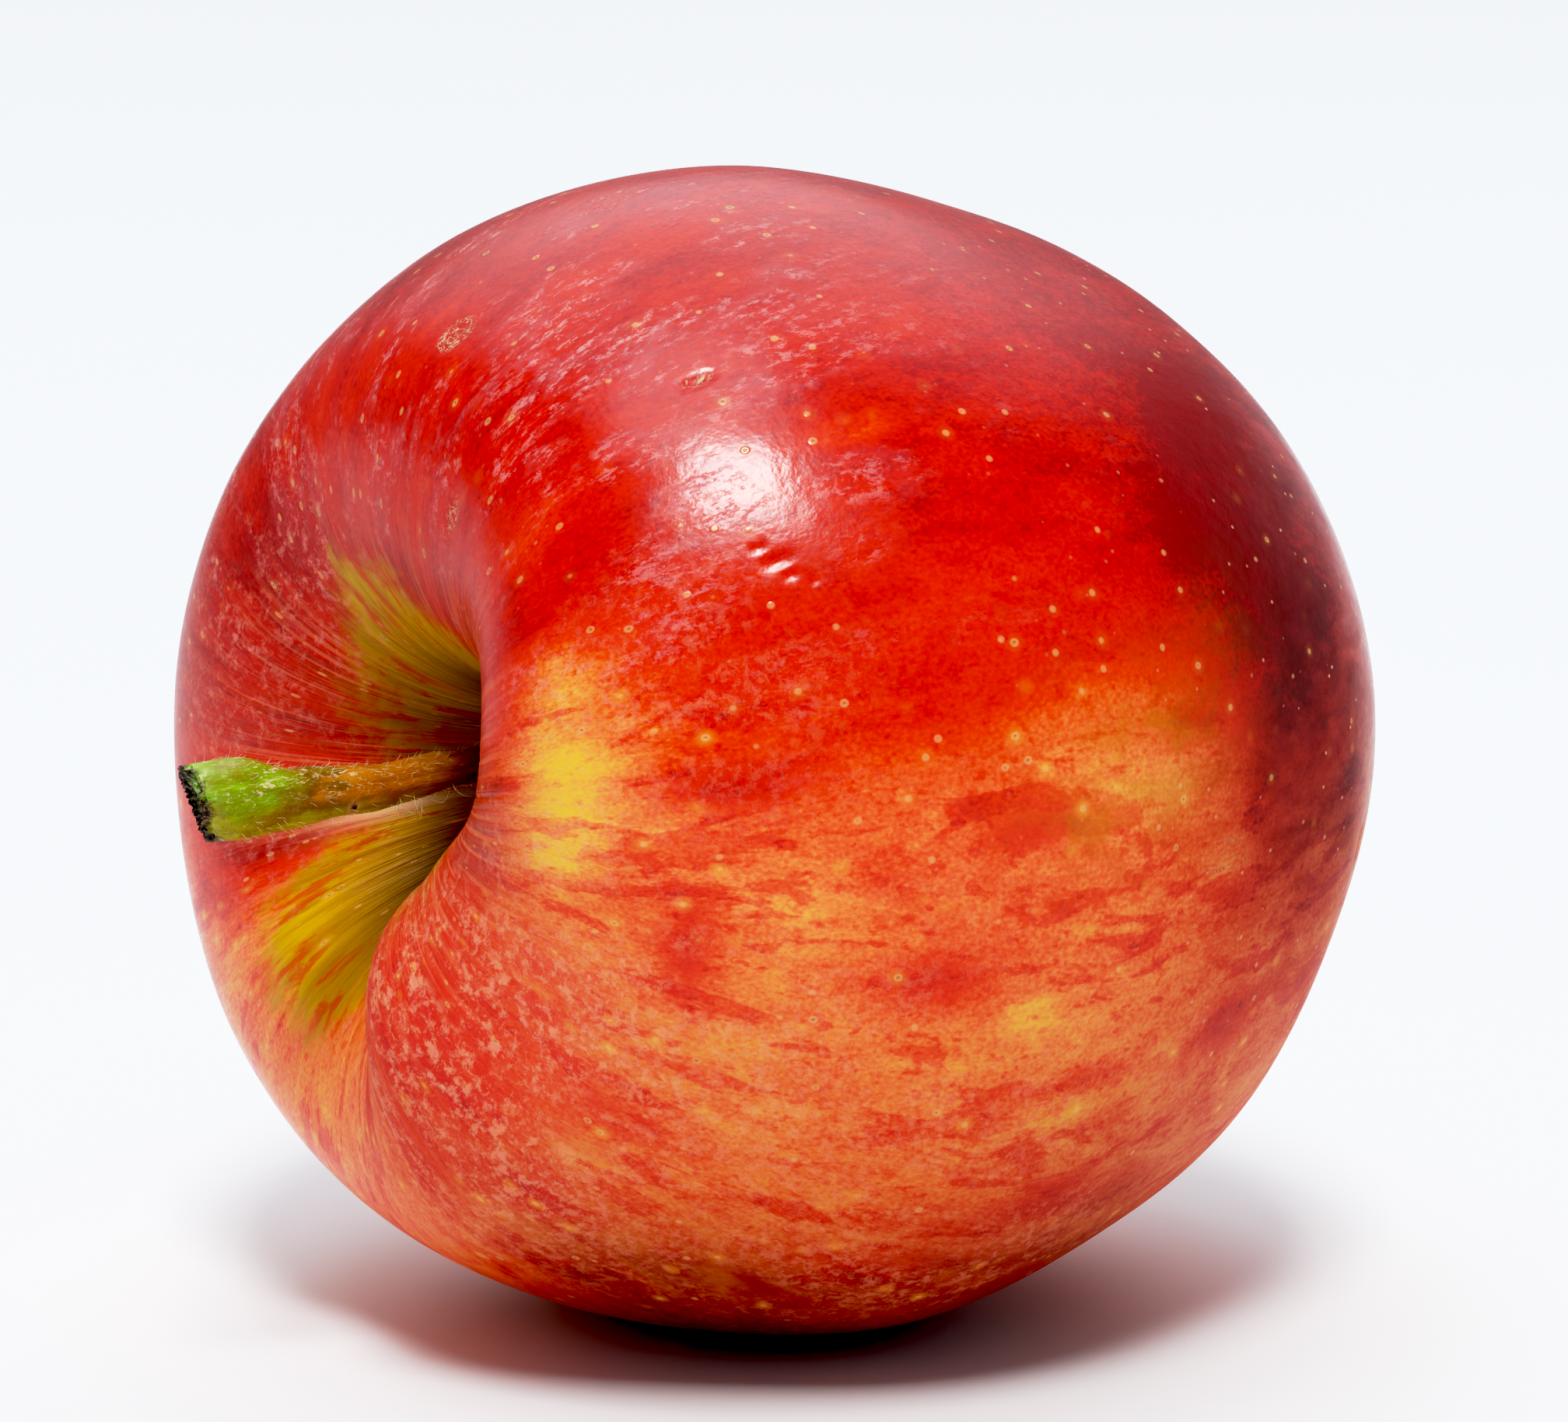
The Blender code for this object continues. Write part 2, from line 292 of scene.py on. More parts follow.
# %% [markdown]
# Streaks on an apple run from stalk to calyx, so the skin needs its own grain: a place round the
# fruit and a distance along the meridian. Both are stored at every vertex as one vector, which a
# material can read. The distance is walked along the fruit's mean outline, so it stays true inside
# the hollows as well.

# %% The skin's own grain
GIRTH_RADIUS = 38.0               # millimetres, the circle that carries the round-the-fruit part
places, radius, longitude, polar = skin_map(skin.data)


def mean_outline():
    """Mean radius and height of the fruit for each polar angle, with the walked distance."""
    edges = np.arange(4.0, 177.0, 1.5)
    rows = []
    for low, high in zip(edges, edges[1:]):
        inside = (polar >= low) & (polar < high)
        if inside.sum() > 20:
            rows.append(((low + high) / 2, radius[inside].mean(), places[inside, 2].mean()))
    outline = np.array(rows)
    steps = np.hypot(np.diff(outline[:, 1]), np.diff(outline[:, 2]))
    return outline[:, 0], np.concatenate(([0.0], np.cumsum(steps)))


angles, walked = mean_outline()
along = np.interp(polar, angles, walked)
turn = np.radians(longitude)
grain = np.stack([GIRTH_RADIUS * np.cos(turn), GIRTH_RADIUS * np.sin(turn), along], axis=1)


def store(piece, name, values):
    """Keep one number or one vector for each vertex under this name."""
    kind, key = ("FLOAT_VECTOR", "vector") if values.ndim == 2 else ("FLOAT", "value")
    attribute = piece.data.attributes.new(name, kind, "POINT")
    attribute.data.foreach_set(key, np.ascontiguousarray(values, dtype=np.float32).ravel())


store(skin, "grain", grain)
store(skin, "russet", russet)
print("from pit to pit along the skin:", round(float(walked[-1])), "mm")

# %% [markdown]
# Red colour builds up where the sun reached the fruit. The top and far side are deep red, and the
# shaded near side stays orange with yellow patches. The broad layout is painted at the vertices:
# a wide change round the fruit, then single patches, each a soft spot with its longitude, polar
# angle, half widths in degrees, and how much redder or yellower it is.

# %% The colour layout
SUN_LONGITUDE = 12
SHADE_BLUSH, SUN_BLUSH = 0.40, 0.90        # redness of the shaded side and of the sunny side
PATCHES = (
    ("yellow under the lip", 285, 34, 9, 6, -0.52), ("pale yellow beside it", 273, 33, 9, 5, -0.42),
    ("amber beside it", 297, 35, 6, 4.5, -0.46), ("amber out from it", 286, 42, 12, 5, -0.16),
    ("warm band below", 266, 53, 10, 9, -0.12), ("near belly", 195, 78, 16, 34, 0.22),
    ("low yellow", 205, 45, 6, 6, -0.20), ("low amber", 210, 57, 6, 6, -0.18),
    ("low pale", 223, 43, 5, 5, -0.16), ("small yellow", 243, 80, 3, 4, -0.20),
    ("small yellow", 254, 76, 3, 3, -0.18), ("small yellow", 262, 86, 2, 3, -0.22),
    ("olive yellow", 274, 84, 3, 4, -0.22), ("olive yellow", 274, 91, 3, 3, -0.22),
    ("olive shade", 279, 82, 7, 9, -0.22), ("olive shade", 270, 98, 6, 5, -0.14),
    ("dull olive", 240, 38, 4, 3, -0.16), ("light band", 249, 47, 5, 5, -0.12),
    ("orange in the red", 319, 38, 4, 4, -0.16), ("orange streak", 313, 67, 1.2, 4, -0.30),
    ("crimson patch", 259, 44.5, 7, 2.6, 0.42), ("red stroke", 279, 48, 2.5, 7, 0.32),
    ("red stroke", 231, 45, 4, 6, 0.24), ("red stroke", 258, 66, 3.5, 6, 0.42),
    ("red stroke", 231, 86, 2, 7, 0.32), ("red stroke", 246, 85, 1.6, 5, 0.34),
    ("red stroke", 246, 104, 3.5, 5, 0.40), ("red stroke", 272, 75, 2.2, 5, 0.34),
    ("red stroke", 222, 72, 2.5, 6, 0.22),
    ("near shoulder", 218, 24, 26, 12, 0.34), ("near shoulder", 262, 16, 22, 7, 0.40),
    ("red beside the stalk", 108, 24, 11, 8, 0.55), ("deep red", 40, 31, 14, 5, 0.12),
    ("deep red", 294, 98, 8, 8, 0.10), ("wine red", 285, 112, 30, 12, 0.30),
    ("red beyond it", 330, 100, 30, 20, 0.06), ("middle red", 285, 76, 8, 18, 0.09),
    ("far stroke", 150, 80, 4, 14, 0.30), ("far stroke", 176, 100, 5, 12, 0.26),
    ("far yellow", 135, 60, 9, 10, -0.20), ("calyx blush", 60, 140, 60, 16, 0.10),
)
# Where short pale dashes are dense, and where the paleness breaks up into crumbs.
FLECKED = (("top", 345, 54, 45, 26, 0.95), ("far top", 42, 52, 42, 26, 0.46))
CRUMBLED = (("below the near shoulder", 220, 27, 34, 17, 1.5), ("near side", 250, 50, 18, 25, 0.50),
            ("lower side", 215, 75, 30, 30, 0.50), ("under the highlight", 290, 45, 14, 16, 0.40),
            ("far wall of the cavity", 70, 30, 50, 12, 0.30),
            ("far calyx side", 150, 110, 60, 30, 0.40))
# Painted shade: where the skin's colour is darkened to stand in for shade, under the belly by the
# ground, along the right side and calyx shoulder, deep in the cavity, at the lip, and in spots on the
# top, the far shoulder and beside the highlight. Then the ridge beside the stalk, with its painted
# highlight.
ALL_ROUND = 500                   # a half width that reaches every longitude
PAINTED_SHADE = (("belly by the ground", 204, 60, 18, 26, 1.00), ("belly", 209, 89, 29, 22, 1.10),
        ("calyx shoulder", 286, 124, 58, 22, 0.72), ("right side", 275, 108, 22, 15, 0.50),
        ("deep in the cavity", 0, 0, ALL_ROUND, 15, 0.85),
        ("far shoulder", 62, 42, 26, 22, 0.40), ("top wine", 12, 58, 16, 12, 0.35),
        ("red of the right side", 305, 104, 14, 10, 0.16),
        ("edge of the right side", 272, 124, 12, 14, 0.22),
        ("lip", 274, 23, 16, 5, 0.45), ("beside the highlight", 338, 72, 9, 16, 0.22))
# The ridge beside the stalk: a pale cream painted along it as its highlight.
RIDGE_PAINTED_HIGHLIGHT = (105, 15.0, 5.5, 4.2)
# A dull olive cast where the yellow ground shows through the red.
OLIVE_CAST = (("right of the middle", 277, 88, 7, 10, 0.62), ("beside it", 270, 79, 4, 6, 0.30),
              ("above it", 286, 102, 8, 8, 0.15))
# Where the wax is thin and shines less.
THIN_WAX = (("right side", 272, 104, 30, 24, 0.85), ("calyx side", 275, 124, 60, 9, 0.40),
            ("belly by the ground", 214, 75, 44, 70, 0.95), ("fold", 205, 24, 40, 12, 0.70),
            ("stalk cavity", 0, 0, ALL_ROUND, 27, 1.00), ("far shoulder", 60, 30, 60, 12, 0.25))
# How far the yellow-olive of the stalk cavity reaches out, as longitude and polar angle.
CAVITY_EDGE = ((0, 23.5), (12, 25.5), (26, 27.5), (35, 24.5), (46, 21), (62, 18.5), (84, 17), (98, 15),
               (108, 15), (118, 20), (127, 25), (137, 27.5), (148, 29), (159, 27), (167, 24),
               (177, 18), (200, 12), (250, 12), (290, 15), (320, 17), (345, 21), (360, 23.5))


def spot(centre, polar_centre, half_width, half_length):
    """A soft spot on the skin: 1 in its middle, fading out over its half widths."""
    sideways = round_distance(longitude, centre) / half_width
    lengthways = (polar - polar_centre) / half_length
    return np.exp(-sideways ** 2 - lengthways ** 2)


def all_spots(rows):
    """The sum of named spots, each as strong as the last number of its row."""
    return sum(amount * spot(*where) for _, *where, amount in rows)


from_sun = np.abs(round_distance(longitude, SUN_LONGITUDE))
sunny = 1.0 - smooth_step(62.0, 122.0, from_sun)
blush = SHADE_BLUSH + (SUN_BLUSH - SHADE_BLUSH) * sunny + all_spots(PATCHES)
cavity_edge = np.interp(longitude, *np.array(CAVITY_EDGE).T)
dashed_stalk_end = 0.29 * smooth_step(54, 26, polar) * smooth_step(10, 18, polar)
store(skin, "blush", blush)
store(skin, "hollow", cavity_edge - polar)
# The painted shade: how much of the darker tint each vertex takes.
store(skin, "deep", np.clip(all_spots(PAINTED_SHADE), 0.0, 1.0))
# The ridge's painted highlight.
store(skin, "cream", spot(*RIDGE_PAINTED_HIGHLIGHT))
store(skin, "olive", all_spots(OLIVE_CAST))
store(skin, "wax", 1.0 - np.clip(all_spots(THIN_WAX), 0.0, 1.0))
store(skin, "dashes", np.clip(dashed_stalk_end + all_spots(FLECKED), 0.0, 1.0))
store(skin, "crumbs", np.clip(all_spots(CRUMBLED), 0.0, 1.0))
print("blush from", round(float(blush.min()), 2), "to", round(float(blush.max()), 2))

# %% [markdown]
# Materials are built as shader nodes. Two small classes keep the node work readable: a finish
# makes nodes, and a wire is one socket whose maths can be written as ordinary Python.


# %% Shader helpers
class Wire:
    """One output of a node. Sums and products of wires add the Math nodes that work them out."""

    def __init__(self, finish, socket):
        self.finish, self.socket = finish, socket

    def maths(self, operation, *values):
        return self.finish.node("ShaderNodeMath", {"operation": operation}, dict(enumerate(values)))

    def __add__(self, other):
        return self.maths("ADD", self, other)

    def __sub__(self, other):
        return self.maths("SUBTRACT", self, other)

    def __rsub__(self, other):
        return self.maths("SUBTRACT", other, self)

    def __mul__(self, other):
        return self.maths("MULTIPLY", self, other)

    def __truediv__(self, other):
        return self.maths("DIVIDE", self, other)

    def __abs__(self):
        return self.maths("ABSOLUTE", self)

    __radd__ = __add__
    __rmul__ = __mul__


class Finish:
    """A material, or the studio's surroundings, under construction."""

    def __init__(self, owner, shader="Principled BSDF"):
        self.material = owner
        owner.use_nodes = True
        self.tree = owner.node_tree
        self.shader = self.tree.nodes[shader]

    def node(self, kind, settings=None, inputs=None, output=0):
        """Any node: its settings first, then the values or wires of its sockets."""
        made = self.tree.nodes.new(kind)
        for name, value in (settings or {}).items():
            if name == "stops":
                self.set_stops(made.color_ramp, value)
            else:
                setattr(made, name, value)
        for key, value in (inputs or {}).items():
            self.feed(made.inputs[key], value)
        return Wire(self, made.outputs[output])

    def feed(self, socket, value):
        """Link a wire to a socket, or set the socket's own value."""
        if isinstance(value, Wire):
            self.tree.links.new(value.socket, socket)
        else:
            socket.default_value = value

    def set_stops(self, ramp, stops):
        """Place the colours of a ramp."""
        while len(ramp.elements) < len(stops):
            ramp.elements.new(0.5)
        for element, (place, colour) in zip(ramp.elements, stops):
            element.position = place
            element.color = (*colour, 1.0)

    def surface(self, **values):
        """Feed the Principled shader: Base_Color stands for Base Color, and so on."""
        for name, value in values.items():
            self.feed(self.shader.inputs[name.replace("_", " ")], value)

    def stored(self, name, output="Fac"):
        """What the mesh keeps under this name."""
        return self.node("ShaderNodeAttribute", {"attribute_name": name}, output=output)

    def millimetres(self):
        """The place on the piece, in millimetres."""
        place = self.node("ShaderNodeTexCoord", output="Object")
        return self.stretch(place, (1000.0, 1000.0, 1000.0))

    def stretch(self, vector, factors):
        """Scale a vector differently along each axis."""
        return self.node("ShaderNodeVectorMath", {"operation": "MULTIPLY"}, {0: vector, 1: factors})

    def noise(self, vector, detail=2.0, roughness=0.5, distortion=0.0):
        """Soft noise around 0.5, with features about one unit across."""
        sockets = {"Vector": vector, "Scale": 1.0, "Detail": detail, "Roughness": roughness,
                   "Distortion": distortion}
        return self.node("ShaderNodeTexNoise", None, sockets)

    def fade(self, low, high, value, to_low=0.0, to_high=1.0):
        """A soft slope from to_low to to_high while the value goes from low to high."""
        sockets = {"Value": value, "From Min": low, "From Max": high,
                   "To Min": to_low, "To Max": to_high}
        return self.node("ShaderNodeMapRange", {"interpolation_type": "SMOOTHSTEP"}, sockets)

    def mix(self, share, first, second, blend="MIX"):
        """Blend the second colour into the first one. MULTIPLY tints the first with the second."""
        first, second = (colour if isinstance(colour, Wire) else (*colour, 1.0)
                         for colour in (first, second))
        settings = {"data_type": "RGBA", "blend_type": blend}
        return self.node("ShaderNodeMix", settings, {0: share, 6: first, 7: second}, output=2)

    def bump(self, height, depth, strength=1.0):
        """A normal from a height, where depth is how many metres one unit of height is."""
        sockets = {"Height": height, "Distance": depth, "Strength": strength}
        return self.node("ShaderNodeBump", None, sockets)


# %% [markdown]
# The skin's colour is worked out in layers, as it grows, with painted shade and a painted highlight
# laid on top. Noise comes in two kinds: grainy noise follows the streaks from stalk to calyx, and
# even noise is the same in every direction. Each is given by how many features fit in a millimetre.

# %% Skin finish
RIPENING = ((0.00, (0.87, 0.43, 0.040)), (0.16, (0.88, 0.35, 0.055)), (0.34, (0.89, 0.22, 0.050)),
            (0.50, (0.83, 0.115, 0.026)), (0.66, (0.74, 0.050, 0.008)), (0.80, (0.63, 0.026, 0.005)),
            (0.91, (0.49, 0.014, 0.006)), (1.00, (0.31, 0.008, 0.008)))
# The tint of the painted shade, and the cream of the ridge's painted highlight.
OLIVE_TINGE, RIDGE_HIGHLIGHT_CREAM, PAINTED_SHADE_TINT = (0.50, 0.21, 0.008), (0.86, 0.60, 0.30), (0.30, 0.15, 0.14)
CAVITY_YELLOW, CAVITY_OLIVE = (0.62, 0.36, 0.012), (0.40, 0.21, 0.008)
# The painted shade deep in the cavity, and the red of its dashes.
CAVITY_PAINTED_SHADE, CAVITY_RED = (0.12, 0.055, 0.003), (0.55, 0.06, 0.012)
RIB_BROWN, RIB_PALE = (0.34, 0.055, 0.012), (0.86, 0.30, 0.12)
CRIMSON, MILKY_PINK = (0.64, 0.040, 0.040), (0.86, 0.18, 0.18)
DASH_PINK, CRUMB_PINK = (0.90, 0.36, 0.35), (0.93, 0.37, 0.21)
HALO_ORANGE, RING_TAN, PORE_BROWN = (0.86, 0.36, 0.05), (0.78, 0.40, 0.16), (0.30, 0.10, 0.02)
SPECK_TAN, SCALE_TAN = (0.84, 0.46, 0.30), (0.66, 0.40, 0.24)

apple = Finish(bpy.data.materials.new("apple_skin"))
grain_wire = apple.stored("grain", "Vector")
blush_wire = apple.stored("blush")
hollow_wire = apple.stored("hollow")
fleck_wire = apple.stored("dashes")
crumb_wire = apple.stored("crumbs")
place = apple.millimetres()
along_wire = apple.node("ShaderNodeSeparateXYZ", None, {0: grain_wire}, output=2)


def grainy(round_fruit, lengthways, detail, roughness=0.5, distortion=0.0):
    """Noise that follows the skin's own grain."""
    stretched = apple.stretch(grain_wire, (round_fruit, round_fruit, lengthways))
    return apple.noise(stretched, detail, roughness, distortion)


def even(scale, detail, roughness, distortion=0.0):
    """Noise without a direction."""
    return apple.noise(apple.stretch(place, (scale, scale, scale)), detail, roughness, distortion)


def cells(scale, output="Distance"):
    """Scattered points on the skin's grain: the distance to the nearest, or its random colour."""
    sockets = {"Vector": grain_wire, "Scale": scale}
    return apple.node("ShaderNodeTexVoronoi", None, sockets, output=output)


print("ripening runs through", len(RIPENING), "colours")

# %% [markdown]
# Redness starts from the painted layout, broken up by streaks, blotches and a fine speckle of
# pigment cells. The unevenness is strongest on the shaded side, where yellow ground shows. A ramp
# turns redness into yellow, orange, scarlet and wine.

# %% Blush
wide_streaks = grainy(0.22, 0.07, 3.0, 0.6)
fine_streaks = grainy(0.85, 0.28, 3.0, 0.6)
blotches = grainy(0.30, 0.20, 6.0, 0.68, 0.5)
speckle = grainy(3.4, 2.9, 1.0, 0.6)
strokes = grainy(0.30, 0.11, 4.0, 0.6, 0.5)
freckles = grainy(1.2, 0.9, 2.0)
shaded = 1.0 - apple.fade(0.58, 0.84, blush_wire)
streaky = (wide_streaks - 0.5) * 0.40 + (fine_streaks - 0.5) * 0.22 + (blotches - 0.5) * 0.66
redness = (blush_wire + (speckle - 0.5) * (0.28 + 0.22 * shaded) + streaky * (0.52 + 0.48 * shaded)
           + apple.fade(0.54, 0.60, strokes) * 0.22 * shaded
           + apple.fade(0.60, 0.68, freckles) * (0.05 + 0.10 * shaded))
colour = apple.node("ShaderNodeValToRGB", {"stops": RIPENING}, {0: redness})
colour = apple.mix(apple.stored("olive") * apple.fade(0.38, 0.62, blotches), colour, OLIVE_TINGE)
print("blush uses", len(apple.tree.nodes), "nodes")

# %% [markdown]
# The sun never reaches into the stalk cavity, so its wall stays olive and yellow, with some red
# dashes near its uneven edge. Towards the root of the stalk the wall is darker: painted shade. A pale
# cream painted along the ridge beside the stalk is a painted highlight. The throat of the cavity has
# fine ribs, brown in their grooves and pale on their backs.

# %% Stalk cavity
cavity_streaks = grainy(0.45, 0.09, 4.0, 0.6)
edge_shift = (cavity_streaks - 0.5) * 9.0 + (even(0.30, 6.0, 0.68, 0.4) - 0.5) * 10.0
cavity = apple.fade(-2.2, 2.8, hollow_wire + edge_shift)
wall = apple.mix(apple.fade(0.30, 0.70, cavity_streaks), CAVITY_YELLOW, CAVITY_OLIVE)
# Painted shade: the wall darkens towards the root of the stalk.
wall = apple.mix(apple.fade(4.5, 15.0, hollow_wire), wall, CAVITY_PAINTED_SHADE)
red_dashes = apple.fade(0.51, 0.60, grainy(0.32, 0.20, 6.0, 0.70, 0.5))
wall = apple.mix(red_dashes * apple.fade(8.5, 4.0, hollow_wire) * 0.8, wall, CAVITY_RED)
colour = apple.mix(cavity, colour, wall)
# Painted highlight: pale cream along the ridge beside the stalk.
colour = apple.mix(apple.stored("cream") * 0.85, colour, RIDGE_HIGHLIGHT_CREAM)
# Painted shade: the skin is darkened under the belly, along the right side, deep in the cavity and at
# the lip.
painted_shade_share = apple.stored("deep") * (0.95 + (blotches - 0.5) * 0.8)
colour = apple.mix(painted_shade_share, colour, PAINTED_SHADE_TINT, "MULTIPLY")

throat = apple.fade(34.0, 20.0, along_wire)
ribs = grainy(0.9, 0.05, 3.0, 0.6)
grooves = apple.fade(0.50, 0.64, ribs) * throat * (1.0 - cavity * 0.7)
backs = apple.fade(0.50, 0.38, ribs) * throat * (1.0 - cavity)
colour = apple.mix(grooves * 0.55, colour, RIB_BROWN)
colour = apple.mix(backs * 0.35, colour, RIB_PALE)
print("with the cavity:", len(apple.tree.nodes), "nodes")

# %% [markdown]
# Dead wax and thin cork leave short pale flecks. On the sunny side they are dashes along the grain,
# in loose groups on a milky ground. Near the cavity and low on the shaded side they break up into
# crumbs on a crimson ground.

# %% Pale flecks
dashes = grainy(1.25, 0.66, 6.0, 0.82, 0.2)
crumbs = even(1.15, 6.0, 0.80, 0.3)
fleck_groups = grainy(0.20, 0.10, 3.0)
grouped = apple.fade(0.42, 0.60, fleck_groups) * (1.0 - cavity * 0.8)
dashes = dashes + (crumbs - dashes) * (apple.fade(46.0, 28.0, along_wire) * 0.75)
dash = apple.fade(0.51, 0.61, dashes) * grouped * fleck_wire
crumb = apple.fade(0.47, 0.60, crumbs) * apple.fade(0.34, 0.50, fleck_groups) * crumb_wire
milky = apple.fade(0.46, 0.66, blotches) * grouped * fleck_wire
fleck = dash + crumb
colour = apple.mix(crumb_wire * crumb_wire * 0.38, colour, CRIMSON)
colour = apple.mix(milky * 0.30, colour, MILKY_PINK)
colour = apple.mix(dash * 0.55, colour, DASH_PINK)
colour = apple.mix(crumb * 0.50, colour, CRUMB_PINK)
print("with the flecks:", len(apple.tree.nodes), "nodes")

# %% [markdown]
# Lenticels are the fruit's breathing pores. Each is a pale corky ring round a dark dot, and some
# have an orange halo. They are smaller towards the calyx, where plain pale specks join them. Scaly
# scars show as a net of tan cracks.

# %% Pores and scars
pore_random = apple.node("ShaderNodeSeparateColor", None, {0: cells(0.40, "Color")})
pore_away = cells(0.40) * 2.5 / apple.fade(20.0, 105.0, along_wire, 1.0, 0.72)
halo = (1.0 - apple.fade(0.25, 0.95, pore_away)) * apple.fade(0.40, 0.90, pore_random)
ring = 1.0 - apple.fade(0.22, 0.38, pore_away)
dot = 1.0 - apple.fade(0.07, 0.15, pore_away)
speck = 1.0 - apple.fade(0.08, 0.17, cells(0.55) * 1.8)
speck = speck * apple.fade(62.0, 100.0, along_wire, 0.15, 1.0)
crack = 1.0 - apple.fade(0.012, 0.055, abs(even(1.6, 2.0, 0.6, 1.2) - 0.5))
scaly = crack * apple.fade(0.25, 0.6, apple.stored("russet"))
colour = apple.mix(halo * (0.08 + 0.34 * shaded), colour, HALO_ORANGE)
colour = apple.mix(ring * 0.46, colour, RING_TAN)
colour = apple.mix(dot * 0.62, colour, PORE_BROWN)
colour = apple.mix(speck * 0.70, colour, SPECK_TAN)
colour = apple.mix(scaly * 0.85, colour, SCALE_TAN)
print("with the pores:", len(apple.tree.nodes), "nodes")

# %% [markdown]
# Fine relief breaks up the shine: a peel texture, faint lines along the grain, pores, flecks,
# scales, ribs in the throat and wrinkles round the calyx. The shine itself is the wax. Where the
# wax is thin, and on flecks and scales, the surface is duller.

# %% Relief and shine
peel = even(0.9, 3.0, 0.55)
striae = grainy(2.2, 0.25, 2.0)
wrinkles = grainy(0.35, 0.15, 2.0) * apple.fade(78.0, 96.0, along_wire)
relief = (peel * 0.034 + striae * 0.012 * fleck_wire + ring * 0.020 - dot * 0.05 + fleck * 0.014
          + scaly * 0.06 + ribs * throat * 0.22 + wrinkles * 0.22)
wax = apple.stored("wax")
shine = apple.fade(0.3, 0.7, blotches, 0.155, 0.22)
dullness = (1.0 - wax) * 0.44 + fleck * wax * 0.13 + scaly * 0.3
apple.surface(Base_Color=colour, Roughness=shine + dullness, Normal=apple.bump(relief, MM),
              Specular_IOR_Level=0.33, Coat_Weight=wax * 0.16, Coat_Roughness=0.42, Coat_IOR=1.4)
skin.data.materials.append(apple.material)
print("apple skin:", len(apple.tree.nodes), "nodes")

# %% [markdown]
# The stalk is the tough stem that held the apple on its twig. It is thick and green at the tip,
# where it broke away and left a dark corky scar, and orange-brown in the cavity. Its bark has
# lengthwise ridges and small lumps, with a bud scar on the near side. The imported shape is
# subdivided, and its vertices are pushed in and out by noise that is stretched along the stalk.

# %% Stalk form
TIP_RADIUS, TIP_MIDDLE, TIP_HEIGHT = 2.5, (1.6, 0.3), 45.6
TIP_SLOPES = (math.tan(math.radians(20)), math.tan(math.radians(24)))
BUD_SCAR = (0.25, -1.75, 35.0)    # core place of the bud scar, in millimetres
RIDGE_DEPTH, LUMP_DEPTH, CRUST_DEPTH, PIT_DEPTH = 0.16, 0.30, 0.35, 0.7
BARK_RECESS = 0.05                # millimetres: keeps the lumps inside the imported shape
stalk = merged_copy("stem", "stalk")
subdivide(stalk, 3)


def short_of_tip(places):
    """How far each place lies inside the slanting broken end, in millimetres."""
    up, across, along = places.T
    rise = TIP_SLOPES[0] * (up - TIP_MIDDLE[0] - TIP_RADIUS)
    rise = rise + TIP_SLOPES[1] * (TIP_RADIUS - across + TIP_MIDDLE[1])
    return TIP_HEIGHT + rise - along


def middle_line(places):
    """For each place, the middle of the stalk at its height."""
    slabs = np.arange(places[:, 2].min(), places[:, 2].max(), 0.8)
    middles = [places[np.abs(places[:, 2] - slab) < 1.0, :2].mean(axis=0) for slab in slabs]
    return np.stack([np.interp(places[:, 2], slabs, column) for column in np.array(middles).T], axis=1)


places = core_places(stalk.data)
gap = short_of_tip(places)
ridges = rough(places, (1.2, 1.2, 0.14)) * RIDGE_DEPTH
lumps = rough(places, (0.45, 0.45, 0.30), 9.0) * LUMP_DEPTH
crust = np.abs(rough(places, (1.1, 1.1, 1.1), 4.0)) * 0.9 + np.abs(rough(places, (2.6, 2.6, 2.6))) * 0.4
corky = 1.0 - smooth_step(0.3, 1.5, gap)
body = smooth_step(0.2, 2.0, gap)
push(stalk, (ridges + lumps - BARK_RECESS) * body - crust * CRUST_DEPTH * corky)
places = core_places(stalk.data)
off_middle = places[:, :2] - middle_line(places)
hollow = 1.0 - smooth_step(0.6, 2.0, np.hypot(*off_middle.T))
places[:, 2] -= corky * (crust + hollow * PIT_DEPTH)
set_core_places(stalk.data, places)
put_on_frame(stalk, "stalk", "stem")
print("stalk reaches", round(float(places[:, 2].max()), 1), "mm from the core middle")

# %% [markdown]
# The bark's colour follows its height above the core's middle: dark brown in the cavity, orange,
# olive, and bright green by the tip, with a yellower underside. Pale matted down lies on top, and
# the broken end is nearly black cork with tan grains.

# %% Stalk finish
places = core_places(stalk.data)
topside = (places[:, :2] - middle_line(places))[:, 0]
store(stalk, "gap", short_of_tip(places))
store(stalk, "core_place", places)
store(stalk, "topside", topside)
bark = Finish(bpy.data.materials.new("stalk_bark"))
stalk_place = bark.stored("core_place", "Vector")
height_wire = bark.node("ShaderNodeSeparateXYZ", None, {0: stalk_place}, output=2)
gap_wire, top_wire = bark.stored("gap"), bark.stored("topside")
fibres = bark.noise(bark.stretch(stalk_place, (2.2, 2.2, 0.30)), 3.0, 0.6)
patches = bark.noise(bark.stretch(stalk_place, (0.55, 0.55, 0.28)), 4.0, 0.6)
grit = bark.noise(bark.stretch(stalk_place, (5.0, 5.0, 4.0)), 2.0, 0.6)
wool = bark.noise(bark.stretch(stalk_place, (4.0, 4.0, 1.3)), 3.0, 0.7, 1.0)
ripeness = bark.fade(19.0, 50.0, height_wire + (patches - 0.5) * 22.0)
tone = bark.node("ShaderNodeValToRGB", {"stops": (
    (0.00, (0.15, 0.050, 0.008)), (0.25, (0.35, 0.125, 0.012)), (0.46, (0.42, 0.180, 0.020)),
    (0.60, (0.17, 0.090, 0.012)), (0.72, (0.24, 0.200, 0.018)), (0.86, (0.20, 0.290, 0.014)),
    (1.00, (0.23, 0.460, 0.018)))},
    {0: ripeness})
under = bark.fade(0.2, -1.2, top_wire + (fibres - 0.5) * 1.2)
